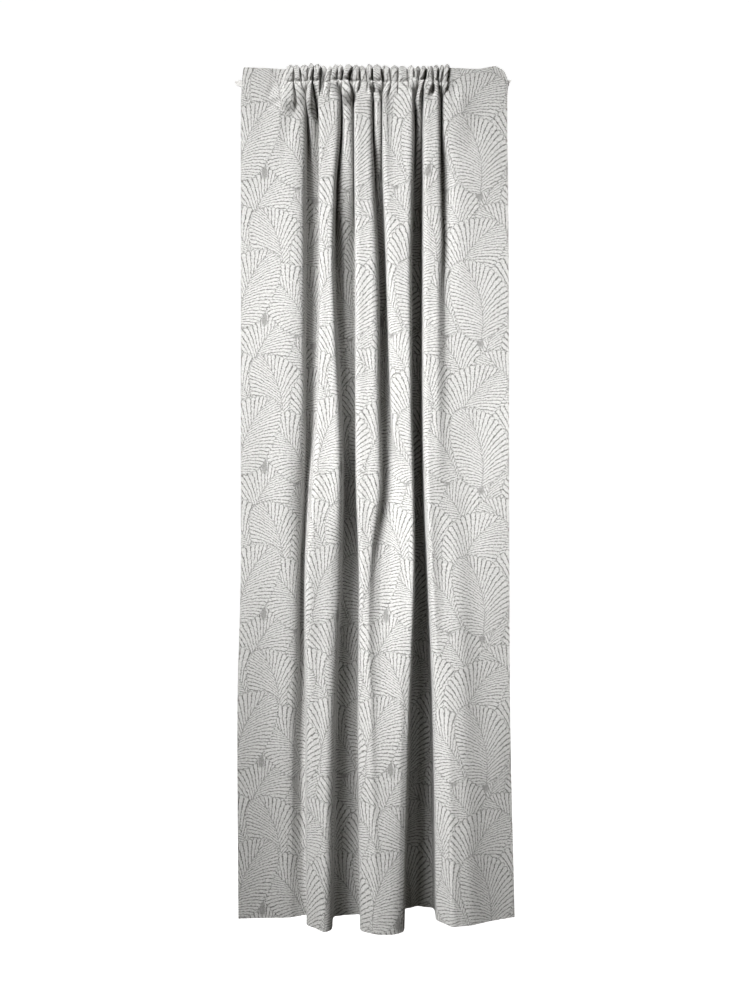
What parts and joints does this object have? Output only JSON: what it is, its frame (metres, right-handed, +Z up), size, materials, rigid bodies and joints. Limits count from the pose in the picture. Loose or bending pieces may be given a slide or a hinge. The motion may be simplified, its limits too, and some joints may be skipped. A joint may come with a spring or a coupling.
{
  "type": "lined curtain",
  "caption": "Floor-length lined curtain of woven leaf cloth with a gathered, ruffled heading, hanging in deep uneven folds between two flatter sides.",
  "frame": {"origin": "middle of the heading's top edge, in the plane of the heading", "axes": "+Z up along the drop, +X to the viewer's right along the heading, +Y towards the back (the lining side), so the front faces -Y"},
  "size_m": [0.8195, 0.219, 2.5],
  "materials": {
    "leaf_cloth": "woven jacquard in pale silvery grey on mid grey, matt with a faint sheen, pale plain lining at the back",
    "heading_tape": "pale narrow woven tape with drawn cords"
  },
  "bodies": {
    "root": {"curtain_cloth": "leaf_cloth", "heading_tape": "heading_tape"}
  },
  "joints": []
}
